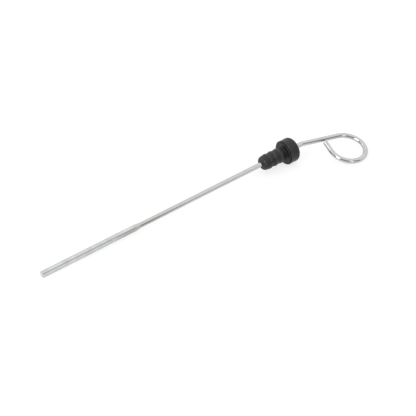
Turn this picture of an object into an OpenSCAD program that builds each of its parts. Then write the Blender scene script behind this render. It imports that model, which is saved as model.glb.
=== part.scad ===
// Engine oil dipstick: one bent round wire, pressed square at its lower end and turned into a
// finger eye at its upper end, with a moulded rubber plug that seals the mouth of the guide tube.
// The wire is drawn along X, from the tip at -X to the eye at +X. X = 0 is the seat, the face of
// the plug that lands on the tube. The whole piece is then turned to lie as it comes to rest.

/* [Wire] */
// Diameter of the round wire
wire_d = 5; // [4:0.1:6]
// Distance from the seat down to the tip
reach = 278.5; // [240:0.5:330]
// Chamfer round the cut ends of the wire
end_chamfer = 0.3; // [0.1:0.05:0.6]

/* [Blade] */
// Length of the square pressed blade
blade_len = 100; // [60:0.5:130]
// Amount by which the flats are pressed in, over both sides
blade_press = 0.35; // [0.2:0.05:1]
// Rounding of the blade's long edges
edge_round = 0.4; // [0.1:0.05:0.6]
// Length over which the flats run out into the round wire
shoulder_len = 5; // [4:0.5:12]
// Turn of the blade's flats from the plane of the eye, in degrees
blade_turn = 15; // [0:1:45]

/* [Level marks] */
// Distance from the tip up to the low mark
low_mark = 14.5; // [8:0.5:25]
// Distance between the low mark and the full mark
mark_span = 60; // [15:1:64]
// Width of each mark
mark_w = 1.2; // [0.8:0.1:2]
// Depth of each mark
mark_depth = 0.3; // [0.1:0.05:0.5]

/* [Plug] */
// Length of the plug below the seat
plug_len = 27.6; // [25:0.2:34]
// Diameter of the plug's body between the ribs
body_d = 14.3; // [13.9:0.1:15]
// Rounding of the plug's nose
nose_r = 3.2; // [2:0.1:3.6]
// Diameter over the sealing ribs
rib_d = 15.5; // [15.2:0.1:16.5]
// Distance from the nose to the upper edge of the first rib
first_rib = 8.3; // [6:0.1:9]
// Distance from one rib to the next
rib_pitch = 7.05; // [6:0.05:7.2]
// Number of sealing ribs
rib_count = 3; // [1:1:3]
// Width of the land on each rib
rib_land = 0.9; // [0.5:0.1:1.4]
// Length of the cone that leads up to each rib
rib_lead = 3.6; // [2.5:0.1:4]
// Rounding of each rib's upper edge
rib_round = 0.4; // [0.2:0.05:0.6]
// Diameter of the neck between the last rib and the seat
neck_d = 12.8; // [11:0.1:13.5]
// Fillet where the neck meets the seat
neck_fillet = 0.8; // [0.4:0.1:1.4]
// Gap between the wire and the plug's bore, nothing where the rubber grips the wire
grip_gap = 0; // [0:0.01:0.1]

/* [Cap] */
// Diameter of the cap
cap_d = 24.9; // [24:0.1:30]
// Height of the cap above the seat
cap_h = 13.2; // [10:0.1:18]
// Diameter of the raised seat under the cap
seat_d = 22.4; // [18:0.1:22.6]
// Height of the seat below the cap's rim
seat_step = 1.25; // [0.6:0.05:2]
// Rounding of the rim and of the seat's edge
rim_round = 0.4; // [0.2:0.05:0.5]
// Rounding of the cap's upper edge
cap_round = 3.3; // [2:0.1:4]
// Depth of the shallow hollow round the cap's side
side_hollow = 0.15; // [0.05:0.05:0.4]

/* [Eye] */
// Straight wire between the cap and the crank
stem_len = 10; // [6:0.5:20]
// Angle of the crank
crank_angle = 15; // [8:0.5:25]
// Bend radius of the crank
crank_r = 10; // [8:0.5:20]
// Straight wire between the crank and the eye
grip_len = 39; // [26:0.5:60]
// Radius where the wire enters the eye
entry_r = 21; // [18:0.5:30]
// Angle turned where the wire enters the eye
entry_turn = 66; // [50:1:75]
// Radius at the far end of the eye
crown_r = 16; // [14:0.5:20]
// Angle turned at the far end of the eye
crown_turn = 108; // [95:1:120]
// Radius where the wire comes back
exit_r = 19.5; // [16:0.5:24]
// Angle turned where the wire comes back
exit_turn = 92.5; // [80:0.5:100]
// Gap between the end of the wire and the straight stretch that it comes back to
tail_gap = 2; // [1:0.1:4]

/* [Hidden] */
$fn = 96;
wire_r = wire_d / 2;
flat_r = (wire_d - blade_press) / 2;
edge_r = (flat_r - edge_round) * sqrt(2) + edge_round;
shoulder_x = -reach + blade_len;
shaft_x = shoulder_x + shoulder_len;
crank_x = cap_h + stem_len;
// The stretches of the wire reach this far into each other
lap = 0.2;
// The inner one is this much thinner there, so that no two round surfaces fall together
hair = 0.01;

// Places on the eye's middle line, as [along the shaft, out from it, heading]
function ahead(p, len) = [p[0] + len * cos(p[2]), p[1] + len * sin(p[2]), p[2]];
function turned(p, r, turn) = [
    p[0] + r * (sin(p[2] + turn) - sin(p[2])),
    p[1] - r * (cos(p[2] + turn) - cos(p[2])),
    p[2] + turn
];
grip_start = turned([crank_x, 0, 0], crank_r, crank_angle);
grip_end = ahead(grip_start, grip_len);
entry_end = turned(grip_end, entry_r, entry_turn);
crown_end = turned(entry_end, crown_r, crown_turn);
exit_end = turned(crown_end, exit_r, exit_turn);
crown_centre = turned(entry_end, crown_r, 0) + crown_r * [-sin(entry_end[2]), cos(entry_end[2]), 0];

// The tail stops short of the grip: its square end comes nearest with one corner
meeting = crank_angle + 360 - exit_end[2];
exit_x = exit_end[0] - grip_start[0];
exit_y = exit_end[1] - grip_start[1];
exit_height = exit_y * cos(crank_angle) - exit_x * sin(crank_angle);
tail_len = (exit_height - wire_r - tail_gap - wire_r * abs(cos(meeting))) / sin(meeting);

// At rest the blade's tip and the cap's rim touch the ground, which sets the pitch
rim_low = cap_d / 2 - rim_round;
pitch_drop = rim_low - flat_r;
pitch_run = reach + seat_step + rim_round;
rest_pitch = atan(pitch_drop / pitch_run) + asin(rim_round / norm([pitch_drop, pitch_run]));
seat_height = reach * sin(rest_pitch) + flat_r * cos(rest_pitch);

// The eye then hangs down until its far bend touches the ground too, which sets the roll
hang = seat_height - wire_r + crown_centre[0] * sin(rest_pitch);
lean = crown_r * sin(rest_pitch);
crown_out = crown_centre[1];
spread = crown_out * crown_out - crown_r * crown_r;
reach_out = hang * crown_out;
root = sqrt(reach_out * reach_out - spread * (hang * hang - lean * lean));
rest_roll = asin((reach_out - root) / spread / cos(rest_pitch));

// Round wire ahead, then the children at its end
module straight(len) {
    rotate([0, 90, 0]) cylinder(h = len, r = wire_r);
    translate([len, 0, 0]) children();
}

// Bend towards -Y, then the children at its end. An inner bend laps into the wire at both ends.
module bend(r, turn, inner = false) {
    over = inner ? lap * 180 / PI / r : 0;
    translate([0, -r, 0]) rotate([0, 0, 90 - turn - over])
        rotate_extrude(angle = turn + 2 * over)
            translate([r, 0]) circle(r = inner ? wire_r - hair : wire_r);
    translate([r * sin(turn), r * (cos(turn) - 1), 0]) rotate([0, 0, -turn]) children();
}

// Chamfered end of the round wire
module cut_end() {
    rotate([0, 90, 0]) cylinder(h = end_chamfer, r1 = wire_r, r2 = wire_r - end_chamfer);
}

// Square section of the blade, with its edges rounded
module blade_section() {
    inner = flat_r - edge_round;
    square([2 * flat_r, 2 * inner], center = true);
    square([2 * inner, 2 * flat_r], center = true);
    for (a = [-1, 1], b = [-1, 1]) translate([a * inner, b * inner]) circle(r = edge_round);
}

// Side view of the blade, a little wider than its flats, so that only the tip's chamfer cuts
module tip_outline() {
    wide = flat_r + end_chamfer;
    polygon([
        [-reach, end_chamfer - flat_r], [-reach + 2 * end_chamfer, -wide], [shaft_x + lap, -wide],
        [shaft_x + lap, wide], [-reach + 2 * end_chamfer, wide], [-reach, flat_r - end_chamfer]
    ]);
}

// Half section of what the blade's edges stay inside. It starts just clear of them at the shoulder,
// and tapers them down to inside the round wire.
module taper_section() {
    polygon([
        [0, -reach - lap], [edge_r + wire_r, -reach - lap], [edge_r + wire_r, shoulder_x],
        [edge_r + 5 * hair, shoulder_x], [wire_r - hair, shaft_x], [0, shaft_x]
    ]);
}

// What the press takes off the round wire: over the shoulder the four flats run out along arcs
module shoulder_cuts() {
    rise = wire_r - flat_r + hair;
    run_r = (shoulder_len * shoulder_len + rise * rise) / (2 * rise);
    for (side = [0:90:270]) rotate([side, 0, 0])
        translate([shoulder_x, flat_r - hair + run_r, 0])
            cylinder(h = 4 * edge_r, r = run_r, center = true, $fn = 720);
}

// Groove pressed across the blade's front flat
module level_mark(from_tip) {
    mark_r = (mark_w * mark_w / 4 + mark_depth * mark_depth) / (2 * mark_depth);
    translate([-reach + from_tip, -flat_r - mark_r + mark_depth, 0])
        cylinder(h = 4 * edge_r, r = mark_r, center = true);
}

// Pressed blade, which runs on inside the shoulder, with its chamfered tip and its two marks
module blade() {
    difference() {
        intersection() {
            translate([-reach, 0, 0]) rotate([90, 0, 90])
                linear_extrude(height = blade_len + shoulder_len) blade_section();
            linear_extrude(height = 4 * edge_r, center = true) tip_outline();
            rotate([90, 0, 0]) linear_extrude(height = 4 * edge_r, center = true) tip_outline();
            rotate([0, 90, 0]) rotate_extrude() taper_section();
        }
        level_mark(low_mark);
        level_mark(low_mark + mark_span);
    }
}

// The whole wire: blade, shaft with the shoulder pressed into it, crank, grip and eye
module dipstick_wire() {
    color([0.74, 0.75, 0.75]) {
        rotate([-blade_turn, 0, 0]) blade();
        difference() {
            translate([shoulder_x, 0, 0]) straight(crank_x - shoulder_x);
            rotate([-blade_turn, 0, 0]) shoulder_cuts();
        }
        translate([crank_x, 0, 0])
            bend(crank_r, crank_angle, inner = true)
            straight(grip_len)
            bend(entry_r, entry_turn, inner = true)
            bend(crown_r, crown_turn)
            bend(exit_r, exit_turn, inner = true)
            straight(tail_len - end_chamfer)
            cut_end();
    }
}

// Half section of one rib, with its upper edge at the given height above the nose
module rib_section(edge) {
    crest = rib_d / 2;
    top = edge - plug_len;
    land_end = top - rib_round;
    polygon([
        [0, land_end - rib_land - rib_lead], [body_d / 2, land_end - rib_land - rib_lead],
        [crest, land_end - rib_land], [crest, land_end], [crest - rib_round, land_end],
        [crest - rib_round, top], [0, top]
    ]);
    translate([crest - rib_round, land_end]) circle(r = rib_round);
}

// Half section of the body, from the rounded nose to the last rib
module body_section() {
    last_edge = first_rib + (rib_count - 1) * rib_pitch;
    translate([0, -plug_len]) {
        square([body_d / 2 - nose_r, last_edge]);
        translate([0, nose_r]) square([body_d / 2, last_edge - nose_r]);
        translate([body_d / 2 - nose_r, nose_r]) circle(r = nose_r);
    }
    for (i = [0:rib_count - 1]) rib_section(first_rib + i * rib_pitch);
}

// Half section of the neck, with the fillet that carries it into the seat
module neck_section() {
    translate([0, -plug_len + first_rib]) square([neck_d / 2, plug_len - first_rib]);
    difference() {
        translate([0, -neck_fillet]) square([neck_d / 2 + neck_fillet, neck_fillet]);
        translate([neck_d / 2 + neck_fillet, -neck_fillet]) circle(r = neck_fillet);
    }
}

// Half section of the cap: raised seat, rounded rim, hollow side and rounded upper edge
module cap_section() {
    cap_r = cap_d / 2;
    side_low = seat_step + rim_round;
    side_high = cap_h - cap_round;
    half_side = (side_high - side_low) / 2;
    hollow_r = (half_side * half_side + side_hollow * side_hollow) / (2 * side_hollow);
    square([seat_d / 2 - rim_round, seat_step + rim_round]);
    translate([0, rim_round]) square([seat_d / 2, seat_step]);
    translate([seat_d / 2 - rim_round, rim_round]) circle(r = rim_round);
    translate([0, seat_step]) square([cap_r - rim_round, side_low - seat_step]);
    translate([cap_r - rim_round, side_low]) circle(r = rim_round);
    difference() {
        translate([0, side_low]) square([cap_r, side_high - side_low]);
        translate([cap_r - side_hollow + hollow_r, side_low + half_side]) circle(r = hollow_r, $fn = 360);
    }
    translate([0, side_high]) square([cap_r - cap_round, cap_round]);
    translate([cap_r - cap_round, side_high]) circle(r = cap_round);
}

module rubber_plug() {
    color([0.16, 0.16, 0.17])
        difference() {
            rotate([0, 90, 0]) rotate([0, 0, 90]) rotate_extrude() intersection() {
                union() {
                    body_section();
                    neck_section();
                    cap_section();
                }
                translate([0, -plug_len]) square([cap_d, plug_len + cap_h]);
            }
            translate([-plug_len - 1, 0, 0]) rotate([0, 90, 0])
                cylinder(h = plug_len + cap_h + 2, r = wire_r + grip_gap);
        }
}

// Lays the dipstick down as it rests
module at_rest() {
    rotate([0, -rest_pitch, 0]) rotate([rest_roll, 0, 0]) children();
}

at_rest() dipstick_wire();
at_rest() rubber_plug();
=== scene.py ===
import math
import bmesh
import bpy
from mathutils import Euler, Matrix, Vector


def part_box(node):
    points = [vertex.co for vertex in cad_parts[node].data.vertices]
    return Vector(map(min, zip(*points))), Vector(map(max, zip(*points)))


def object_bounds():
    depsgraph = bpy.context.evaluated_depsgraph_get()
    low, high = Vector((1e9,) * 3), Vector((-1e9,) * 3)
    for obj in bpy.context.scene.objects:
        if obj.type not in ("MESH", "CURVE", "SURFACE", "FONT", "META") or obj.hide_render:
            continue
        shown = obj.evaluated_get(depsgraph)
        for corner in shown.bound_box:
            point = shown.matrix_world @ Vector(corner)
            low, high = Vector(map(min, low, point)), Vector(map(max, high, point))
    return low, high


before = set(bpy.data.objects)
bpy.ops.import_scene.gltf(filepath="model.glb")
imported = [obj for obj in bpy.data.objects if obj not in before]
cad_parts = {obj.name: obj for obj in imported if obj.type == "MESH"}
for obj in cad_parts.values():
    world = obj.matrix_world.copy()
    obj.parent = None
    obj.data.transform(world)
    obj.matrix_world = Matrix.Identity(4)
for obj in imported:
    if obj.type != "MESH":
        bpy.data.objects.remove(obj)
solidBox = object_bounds()
mm = 0.001
noiseSpan = (0.3, 0.7)              # most of a noise's values lie between these
print("frame loaded:", sorted(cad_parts))


# sRGB hex to the linear colour that the shaders work in
def hexColour(text):
    channels = [int(text[i:i + 2], 16) / 255 for i in (1, 3, 5)]
    linear = [c / 12.92 if c <= 0.04045 else ((c + 0.055) / 1.055) ** 2.4 for c in channels]
    return (*linear, 1.0)


# adds one node; an input is a value or the socket that feeds it
def addNode(tree, kind, settings=None, inputs=None):
    node = tree.nodes.new("ShaderNode" + kind)
    for name, value in (settings or {}).items():
        setattr(node, name, value)
    for name, value in (inputs or {}).items():
        if isinstance(value, bpy.types.NodeSocket):
            tree.links.new(value, node.inputs[name])
        else:
            node.inputs[name].default_value = value
    return node


def newMaterial(name):
    material = bpy.data.materials.new(name)
    material.use_nodes = True
    material.node_tree.nodes.clear()
    return material


# how the dipstick lies: the shaft's axis passes through the origin, and the eye is found from the solids
wireLow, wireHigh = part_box("dipstick_wire")
wire = {
    "radius": 2.5 * mm,
    "pitch": math.radians(2.07),    # the tip lies on the ground and the cap holds the shaft up
    "roll": math.radians(15.30),    # the far bend of the eye lies on the ground
    "eyeRadius": 16.0 * mm,         # middle line at the far end of the eye
    "eyeStart": 44.0 * mm,          # along the shaft, where the wire starts to turn round the eye
    "eyeBlend": 10.0 * mm,          # from there, over which the draw lines turn to follow the eye
}
wire["eyeCentre"] = (
    wireHigh.x - wire["eyeRadius"] - wire["radius"],
    wireLow.y + (wire["eyeRadius"] + wire["radius"]) * math.cos(wire["roll"]),
    wireLow.z + wire["radius"] + wire["eyeRadius"] * math.sin(wire["roll"]),
)
wire["lies"] = Euler((wire["roll"], -wire["pitch"], 0))


# camera: the photo looks down on the dipstick from beside its tip
view = {
    "turn": math.radians(38.09),
    "drop": math.radians(37.31),
    "lookAt": Vector((-84.13, 11.64, -34.77)) * mm,
    "distance": 1200 * mm,
    "sensor": 36,                   # its width in mm, as the focal length is
    "focal": 106.96,
    "nearest": 50 * mm,             # nothing nearer to the camera is drawn
}


def makeCamera():
    data = bpy.data.cameras.new("photoView")
    data.sensor_width = view["sensor"]
    data.lens = view["focal"]
    data.clip_start = view["nearest"]
    camera = bpy.data.objects.new("photoView", data)
    bpy.context.scene.collection.objects.link(camera)
    ahead = Vector((
        math.sin(view["turn"]) * math.cos(view["drop"]),
        math.cos(view["turn"]) * math.cos(view["drop"]),
        -math.sin(view["drop"]),
    ))
    camera.location = view["lookAt"] - view["distance"] * ahead
    camera.rotation_euler = ahead.to_track_quat("-Z", "Y").to_euler()
    bpy.context.scene.camera = camera
    print("camera at", [round(c, 3) for c in camera.location])


# white paper floor: a plain surface that takes the shadow, lifted to white where it is seen or mirrored
floor = {"size": 8.0, "colour": "#8C8C8C", "lift": 0.76}


def makeFloor():
    material = newMaterial("whitePaper")
    tree = material.node_tree
    paper = addNode(tree, "BsdfDiffuse", {}, {"Color": hexColour(floor["colour"])})
    path = addNode(tree, "LightPath")
    seen = addNode(tree, "Math", {"operation": "MAXIMUM"},
                   {0: path.outputs["Is Camera Ray"], 1: path.outputs["Is Glossy Ray"]})
    seen = addNode(tree, "Math", {"operation": "MAXIMUM"},
                   {0: seen.outputs[0], 1: path.outputs["Is Transmission Ray"]})
    lift = addNode(tree, "Math", {"operation": "MULTIPLY"}, {0: seen.outputs[0], 1: floor["lift"]})
    glow = addNode(tree, "Emission", {}, {"Color": (1, 1, 1, 1), "Strength": lift.outputs[0]})
    both = addNode(tree, "AddShader", {}, {0: paper.outputs[0], 1: glow.outputs[0]})
    addNode(tree, "OutputMaterial", {}, {"Surface": both.outputs[0]})
    grid = bmesh.new()
    bmesh.ops.create_grid(grid, x_segments=1, y_segments=1, size=floor["size"] / 2)
    bmesh.ops.translate(grid, verts=grid.verts, vec=(0, 0, solidBox[0].z))
    mesh = bpy.data.meshes.new("paperFloor")
    grid.to_mesh(mesh)
    grid.free()
    mesh.materials.append(material)
    sheet = bpy.data.objects.new("paperFloor", mesh)
    bpy.context.scene.collection.objects.link(sheet)
    print("floor laid at", round(solidBox[0].z, 4))


# studio: a white tent behind and above, with one darker open side towards the camera, where two tall
# soft boxes stand left and right. A small one hangs high on the left. The white patches on the eye are
# the tall ones, mirrored, and the streak along its tail is the small one. The tent's edge is mirrored
# along the shaft, as a dark stripe that fades towards the plug.
studio = {
    "tent": [(0.0, "#DADADA"), (0.15, "#EAEAEA"), (0.35, "#F6F6F6"), (0.6, "#FFFFFF"), (1.0, "#FFFFFF")],
    "openSide": [(0.0, "#767676"), (0.3, "#848484"), (0.62, "#B4B4B4"), (0.9, "#F0F0F0"), (1.0, "#FFFFFF")],
    "openTowards": (-0.617, -0.787, 0.0),
    "openFrom": 0.33,               # cosine of the angle from the open side's middle, where the tent ends
    "openTo": 0.42,                 # and where the side is fully open
    "roomLevel": 1.16,
    "boxAway": 2.0,                 # metres
    "boxes": [
        {"name": "softBoxRight", "azimuth": -98, "height": 22, "size": (0.40, 1.5), "watts": 3.2},
        {"name": "softBoxLeft", "azimuth": -165, "height": 28, "size": (0.62, 1.6), "watts": 13.0},
        {"name": "softBoxTop", "azimuth": 139, "height": 46, "size": (0.2, 0.7), "watts": 0.8},
    ],
}


def makeStudio():
    world = bpy.data.worlds.new("studioRoom")
    world.use_nodes = True
    tree = world.node_tree
    tree.nodes.clear()
    place = addNode(tree, "TexCoord")
    upward = addNode(tree, "SeparateXYZ", {}, {0: place.outputs["Generated"]})
    towards = addNode(tree, "VectorMath", {"operation": "DOT_PRODUCT"},
                      {0: place.outputs["Generated"], 1: studio["openTowards"]})
    isOpen = addNode(tree, "MapRange", {"interpolation_type": "SMOOTHSTEP"}, {
        "Value": towards.outputs["Value"], "From Min": studio["openFrom"], "From Max": studio["openTo"],
    })
    shades = []
    for stops in (studio["tent"], studio["openSide"]):
        shade = addNode(tree, "ValToRGB", {}, {"Fac": upward.outputs["Z"]})
        ramp = shade.color_ramp
        while len(ramp.elements) < len(stops):
            ramp.elements.new(0.5)
        for element, (at, colour) in zip(ramp.elements, stops):
            element.position = at
            element.color = hexColour(colour)
        shades.append(shade.outputs[0])
    walls = addNode(tree, "Mix", {"data_type": "RGBA"}, {
        "Factor": isOpen.outputs[0], 6: shades[0], 7: shades[1],
    })
    back = addNode(tree, "Background", {}, {"Color": walls.outputs[2], "Strength": studio["roomLevel"]})
    addNode(tree, "OutputWorld", {}, {"Surface": back.outputs[0]})
    bpy.context.scene.world = world
    for box in studio["boxes"]:
        data = bpy.data.lights.new(box["name"], "AREA")
        data.shape = "RECTANGLE"
        data.size, data.size_y = box["size"]
        data.energy = box["watts"]
        lamp = bpy.data.objects.new(box["name"], data)
        bpy.context.scene.collection.objects.link(lamp)
        azimuth, height = math.radians(box["azimuth"]), math.radians(box["height"])
        away = Vector((
            math.cos(azimuth) * math.cos(height), math.sin(azimuth) * math.cos(height), math.sin(height),
        ))
        lamp.location = studio["boxAway"] * away
        lamp.rotation_euler = (-away).to_track_quat("-Z", "Y").to_euler()
    print("studio lit with", len(studio["boxes"]), "soft boxes")


# a place in the dipstick's own directions, X along the shaft, and the node that holds its X, Y and Z:
# the pitch and roll it lies at are taken out
def alongShaft(tree, spot):
    turned = addNode(tree, "Mapping", {"vector_type": "TEXTURE"},
                     {"Vector": spot, "Rotation": wire["lies"]})
    parts = addNode(tree, "SeparateXYZ", {}, {0: turned.outputs[0]})
    return turned.outputs[0], parts


# distance from the shaft's axis
def fromAxis(tree, parts):
    across = addNode(tree, "CombineXYZ", {}, {0: parts.outputs["Y"], 1: parts.outputs["Z"]})
    return addNode(tree, "VectorMath", {"operation": "LENGTH"}, {0: across.outputs[0]}).outputs["Value"]


# a stretch of the shaft: 0 where it starts, 1 from full until it fades, 0 again where it ends
def stretch(tree, along, starts, full, fades, ends):
    enters = addNode(tree, "MapRange", {}, {"Value": along, "From Min": starts, "From Max": full})
    leaves = addNode(tree, "MapRange", {}, {"Value": along, "From Min": ends, "From Max": fades})
    both = addNode(tree, "Math", {"operation": "MULTIPLY"}, {0: enters.outputs[0], 1: leaves.outputs[0]})
    return both.outputs[0]


# Bright zinc-plated steel wire: drawn through a die, so fine lines run along it and follow its bends.
# It is slightly wavy all along, with shorter waves where it was bent round the eye, and the plating is
# brighter in some patches than in others. The press left the blade's flats brighter than the round wire.
# The blade's four long edges are painted darker and made rougher: a painted dark line, standing in for
# the shade mirrored in their rounded faces. The shaft's low side round the shoulder is painted darker and
# warmer: painted shade, standing in for the shadowed floor that this side mirrors.
steel = {
    "bright": "#C8C9C8",
    "dull": "#B6B7B6",
    "pressed": "#D0D1D1",
    "pressedDull": "#BEC0BF",
    "pressedSpan": (0.35, 0.65),    # noise values of the duller and the brighter parts
    # painted shade: colour of the blade's four rounded edges, darkened to stand in for the dark they mirror
    "paintedEdgeShade": "#8E8F90",
    # painted shade: darker, warmer colour of the shaft's low side round the shoulder, for the shadowed
    # floor
    "paintedLowShade": "#ADACA9",
    # along the shaft: starts, full, fades, ends
    "paintedShadeStretch": (-204 * mm, -190 * mm, -160 * mm, -120 * mm),
    "paintedShadeSide": (0, -0.97, -0.25), # the side that mirrors the shadowed floor, in the dipstick's own directions
    "paintedShadeFade": 1.0 * mm,          # from the axis towards that side, over which the painted shade builds up
    "roughness": (0.08, 0.18),
    "edgeRoughness": 0.34,
    "lineSpacing": 0.6 * mm,        # real draw lines are finer; these are as coarse as shows
    "lineLength": 55 * mm,
    "lineDepth": 0.006 * mm,
    "lineDetail": 3.0,
    "patchSize": 9 * mm,
    "patchDetail": 4.0,
    "waveLength": 26 * mm,          # all along the wire
    "waveDepth": 0.05 * mm,
    "waveDetail": 1.0,
    "bendWaveLength": 7 * mm,       # only round the eye
    "bendWaveDepth": 0.05 * mm,
    "bendWaveDetail": 1.5,
    "bladeEnd": (-178.5 * mm, -179.5 * mm),     # along the shaft, from round wire to blade
    "bladeEdge": (2.92 * mm, 3.05 * mm),        # away from the axis, from flat to rounded edge
}


# streaks left by the die, long in X and fine across it
def drawLines(tree, spot):
    drawn = addNode(tree, "Mapping", {}, {
        "Vector": spot,
        "Scale": (1 / steel["lineLength"], 1 / steel["lineSpacing"], 1 / steel["lineSpacing"]),
    })
    lines = addNode(tree, "TexNoise", {}, {
        "Vector": drawn.outputs[0], "Scale": 1.0, "Detail": steel["lineDetail"],
    })
    return lines.outputs["Fac"]


def platedSteel():
    material = newMaterial("brightPlatedSteel")
    tree = material.node_tree
    place = addNode(tree, "TexCoord")
    shaft, shaftParts = alongShaft(tree, place.outputs["Object"])
    # round the eye: arc length, distance from its centre and height over its plane
    centred = addNode(tree, "VectorMath", {"operation": "SUBTRACT"},
                      {0: place.outputs["Object"], 1: wire["eyeCentre"]})
    eyeParts = alongShaft(tree, centred.outputs[0])[1]
    angle = addNode(tree, "Math", {"operation": "ARCTAN2"},
                    {0: eyeParts.outputs["Y"], 1: eyeParts.outputs["X"]})
    arc = addNode(tree, "Math", {"operation": "MULTIPLY"}, {0: angle.outputs[0], 1: wire["eyeRadius"]})
    flat = addNode(tree, "CombineXYZ", {}, {0: eyeParts.outputs["X"], 1: eyeParts.outputs["Y"]})
    away = addNode(tree, "VectorMath", {"operation": "LENGTH"}, {0: flat.outputs[0]})
    roundEye = addNode(tree, "CombineXYZ", {},
                       {0: arc.outputs[0], 1: away.outputs["Value"], 2: eyeParts.outputs["Z"]})
    inEye = addNode(tree, "MapRange", {}, {
        "Value": shaftParts.outputs["X"],
        "From Min": wire["eyeStart"], "From Max": wire["eyeStart"] + wire["eyeBlend"],
    })
    lines = addNode(tree, "Mix", {"data_type": "FLOAT"}, {
        0: inEye.outputs[0], 2: drawLines(tree, shaft), 3: drawLines(tree, roundEye.outputs[0]),
    })
    # the blade's edges lie further from the axis than its flats
    onBlade = addNode(tree, "MapRange", {}, {
        "Value": shaftParts.outputs["X"],
        "From Min": steel["bladeEnd"][0], "From Max": steel["bladeEnd"][1],
    })
    pastFlats = addNode(tree, "MapRange", {}, {
        "Value": fromAxis(tree, shaftParts),
        "From Min": steel["bladeEdge"][0], "From Max": steel["bladeEdge"][1],
    })
    # the blade's rounded edges, where a painted dark line stands in for the shade they mirror
    onEdge = addNode(tree, "Math", {"operation": "MULTIPLY"},
                     {0: onBlade.outputs[0], 1: pastFlats.outputs[0]})
    # painted shade on the low side round the shoulder, where the shaft mirrors the shadowed floor
    lowSide = addNode(tree, "VectorMath", {"operation": "DOT_PRODUCT"}, {0: shaft, 1: steel["paintedShadeSide"]})
    isLow = addNode(tree, "MapRange", {}, {
        "Value": lowSide.outputs["Value"], "From Min": 0.0, "From Max": steel["paintedShadeFade"],
    })
    paintedLowShade = addNode(tree, "Math", {"operation": "MULTIPLY"}, {
        0: stretch(tree, shaftParts.outputs["X"], *steel["paintedShadeStretch"]), 1: isLow.outputs[0],
    })
    patches = addNode(tree, "TexNoise", {}, {
        "Vector": place.outputs["Object"],
        "Scale": 1 / steel["patchSize"], "Detail": steel["patchDetail"],
    })
    waves = addNode(tree, "TexNoise", {}, {
        "Vector": shaft, "Scale": 1 / steel["waveLength"], "Detail": steel["waveDetail"],
    })
    bendWaves = addNode(tree, "TexNoise", {}, {
        "Vector": place.outputs["Object"],
        "Scale": 1 / steel["bendWaveLength"], "Detail": steel["bendWaveDetail"],
    })
    colour = addNode(tree, "Mix", {"data_type": "RGBA"}, {
        "Factor": patches.outputs["Fac"],
        6: hexColour(steel["dull"]), 7: hexColour(steel["bright"]),
    })
    pressing = addNode(tree, "MapRange", {}, {
        "Value": patches.outputs["Fac"],
        "From Min": steel["pressedSpan"][0], "From Max": steel["pressedSpan"][1],
    })
    flats = addNode(tree, "Mix", {"data_type": "RGBA"}, {
        "Factor": pressing.outputs[0],
        6: hexColour(steel["pressedDull"]), 7: hexColour(steel["pressed"]),
    })
    finishes = (
        (onBlade, flats.outputs[2]),
        (paintedLowShade, hexColour(steel["paintedLowShade"])),
        (onEdge, hexColour(steel["paintedEdgeShade"])),
    )
    for where, shade in finishes:
        colour = addNode(tree, "Mix", {"data_type": "RGBA"}, {
            "Factor": where.outputs[0], 6: colour.outputs[2], 7: shade,
        })
    smooth = addNode(tree, "MapRange", {}, {
        "Value": lines.outputs[0], "From Min": noiseSpan[0], "From Max": noiseSpan[1],
        "To Min": steel["roughness"][0], "To Max": steel["roughness"][1],
    })
    rough = addNode(tree, "Mix", {"data_type": "FLOAT"}, {
        0: onEdge.outputs[0], 2: smooth.outputs[0], 3: steel["edgeRoughness"],
    })
    waveBump = addNode(tree, "Bump", {}, {"Height": waves.outputs["Fac"], "Distance": steel["waveDepth"]})
    bendHeight = addNode(tree, "Math", {"operation": "MULTIPLY"},
                         {0: bendWaves.outputs["Fac"], 1: inEye.outputs[0]})
    bendBump = addNode(tree, "Bump", {}, {
        "Height": bendHeight.outputs[0], "Distance": steel["bendWaveDepth"], "Normal": waveBump.outputs[0],
    })
    lineBump = addNode(tree, "Bump", {}, {
        "Height": lines.outputs[0], "Distance": steel["lineDepth"], "Normal": bendBump.outputs[0],
    })
    surface = addNode(tree, "BsdfPrincipled", {}, {
        "Base Color": colour.outputs[2], "Metallic": 1.0,
        "Roughness": rough.outputs[0], "Normal": lineBump.outputs[0],
    })
    addNode(tree, "OutputMaterial", {}, {"Surface": surface.outputs[0]})
    return material


# Black nitrile rubber, compression moulded: satin, with a fine even grain from the mould. The nose, the
# ribs and the rims are painted paler: partly scuffs, because they rub as the plug is pushed into its tube
# and pulled, and partly a painted highlight where these rounded edges catch the light.
rubber = {
    "base": "#1A1A1B",
    "bloom": "#252526",             # paler where the rubber has bloomed
    # paler rims: scuffs, and a painted highlight where the rounded edges catch the light
    "scuffedAndHighlit": "#414142",
    "roughness": (0.36, 0.50),
    "specularLevel": 0.36,
    "grainSize": 0.5 * mm,          # real grain is finer; this is as coarse as shows
    "grainDepth": 0.02 * mm,
    "grainDetail": 3.0,
    "patchSize": 6 * mm,
    "patchDetail": 5.0,
    "scuffSize": 1.6 * mm,
    "scuffDetail": 3.0,
    "scuffSpan": (0.38, 0.62),      # noise values of untouched rubber and of scuffed, highlit rubber
    "rimAlong": 0.3 * mm,           # a rim's scuffs and painted highlight fade in over this length of the shaft
    "rimAcross": 0.2 * mm,          # and over this distance away from its axis
    "rims": [                       # from and to along the shaft, distance from the axis where the paler rim starts
        (-20.9 * mm, -3.5 * mm, 7.50 * mm),     # lands of the three ribs
        (-28.0 * mm, -25.6 * mm, 5.2 * mm),     # rounded nose
        (-0.4 * mm, 0.5 * mm, 10.85 * mm),      # edge of the seat
        (1.0 * mm, 2.1 * mm, 12.10 * mm),       # rim of the cap
    ],
}


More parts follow.
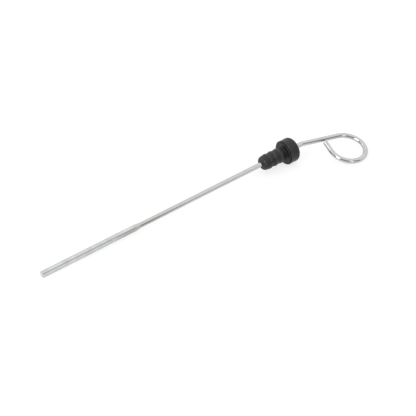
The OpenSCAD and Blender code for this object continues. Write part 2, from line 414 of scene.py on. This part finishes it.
def mouldedRubber():
    material = newMaterial("blackNitrileRubber")
    tree = material.node_tree
    place = addNode(tree, "TexCoord")
    shaftParts = alongShaft(tree, place.outputs["Object"])[1]
    away = fromAxis(tree, shaftParts)
    grain = addNode(tree, "TexNoise", {}, {
        "Vector": place.outputs["Object"],
        "Scale": 1 / rubber["grainSize"], "Detail": rubber["grainDetail"],
    })
    patches = addNode(tree, "TexNoise", {}, {
        "Vector": place.outputs["Object"],
        "Scale": 1 / rubber["patchSize"], "Detail": rubber["patchDetail"],
    })
    scuffs = addNode(tree, "TexNoise", {}, {
        "Vector": place.outputs["Object"],
        "Scale": 1 / rubber["scuffSize"], "Detail": rubber["scuffDetail"],
    })
    rubs = addNode(tree, "MapRange", {}, {
        "Value": scuffs.outputs["Fac"],
        "From Min": rubber["scuffSpan"][0], "From Max": rubber["scuffSpan"][1],
    })
    onRims = 0.0
    for start, end, radius in rubber["rims"]:
        atRim = stretch(tree, shaftParts.outputs["X"],
                        start, start + rubber["rimAlong"], end - rubber["rimAlong"], end)
        outside = addNode(tree, "MapRange", {}, {
            "Value": away, "From Min": radius, "From Max": radius + rubber["rimAcross"],
        })
        onRims = addNode(tree, "Math", {"operation": "MULTIPLY_ADD", "use_clamp": True},
                         {0: atRim, 1: outside.outputs[0], 2: onRims}).outputs[0]
    # scuffs and a painted highlight on the nose, the rib lands and the rims
    scuffedAndHighlit = addNode(tree, "Math", {"operation": "MULTIPLY"}, {0: onRims, 1: rubs.outputs[0]})
    moulded = addNode(tree, "Mix", {"data_type": "RGBA"}, {
        "Factor": patches.outputs["Fac"],
        6: hexColour(rubber["base"]), 7: hexColour(rubber["bloom"]),
    })
    colour = addNode(tree, "Mix", {"data_type": "RGBA"}, {
        "Factor": scuffedAndHighlit.outputs[0], 6: moulded.outputs[2], 7: hexColour(rubber["scuffedAndHighlit"]),
    })
    rough = addNode(tree, "MapRange", {}, {
        "Value": patches.outputs["Fac"], "From Min": noiseSpan[0], "From Max": noiseSpan[1],
        "To Min": rubber["roughness"][0], "To Max": rubber["roughness"][1],
    })
    bump = addNode(tree, "Bump", {}, {"Height": grain.outputs["Fac"], "Distance": rubber["grainDepth"]})
    surface = addNode(tree, "BsdfPrincipled", {}, {
        "Base Color": colour.outputs[2], "Roughness": rough.outputs[0], "Normal": bump.outputs[0],
        "Specular IOR Level": rubber["specularLevel"],
    })
    addNode(tree, "OutputMaterial", {}, {"Surface": surface.outputs[0]})
    return material


def dressNode(name, material):
    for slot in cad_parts[name].material_slots:
        slot.material = material
    print("dressed", name, "in", material.name)


makeCamera()
makeFloor()
makeStudio()
dressNode("dipstick_wire", platedSteel())
dressNode("rubber_plug", mouldedRubber())
bpy.context.scene.view_settings.view_transform = "Standard"
